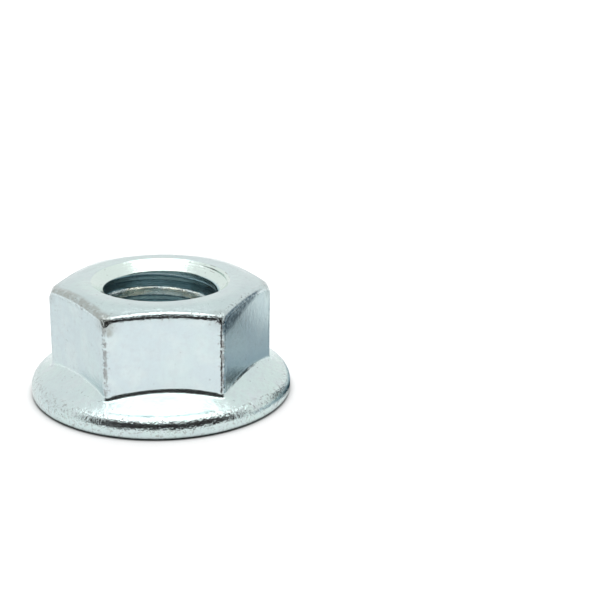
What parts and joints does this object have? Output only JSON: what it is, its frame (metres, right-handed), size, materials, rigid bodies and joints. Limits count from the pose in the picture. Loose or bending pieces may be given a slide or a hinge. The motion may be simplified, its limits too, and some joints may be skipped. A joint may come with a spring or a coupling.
{
  "type": "hex flange nut",
  "caption": "Zinc-plated steel hexagon nut with a conical flange, a threaded bore countersunk at both ends, and a plain flat bearing face.",
  "frame": {"origin": "centre of the bearing face, on the axis of the bore", "axes": "+Z along the axis of the bore, from the bearing face to the top face; one flat of the hexagon faces -Y, and two of its corners lie on X"},
  "size_m": [0.019, 0.019, 0.0084],
  "materials": {
    "zinc_plated_steel": "bright zinc plating, satin, with small pits"
  },
  "bodies": {
    "root": {"hex_flange_nut": "zinc_plated_steel"}
  },
  "joints": []
}
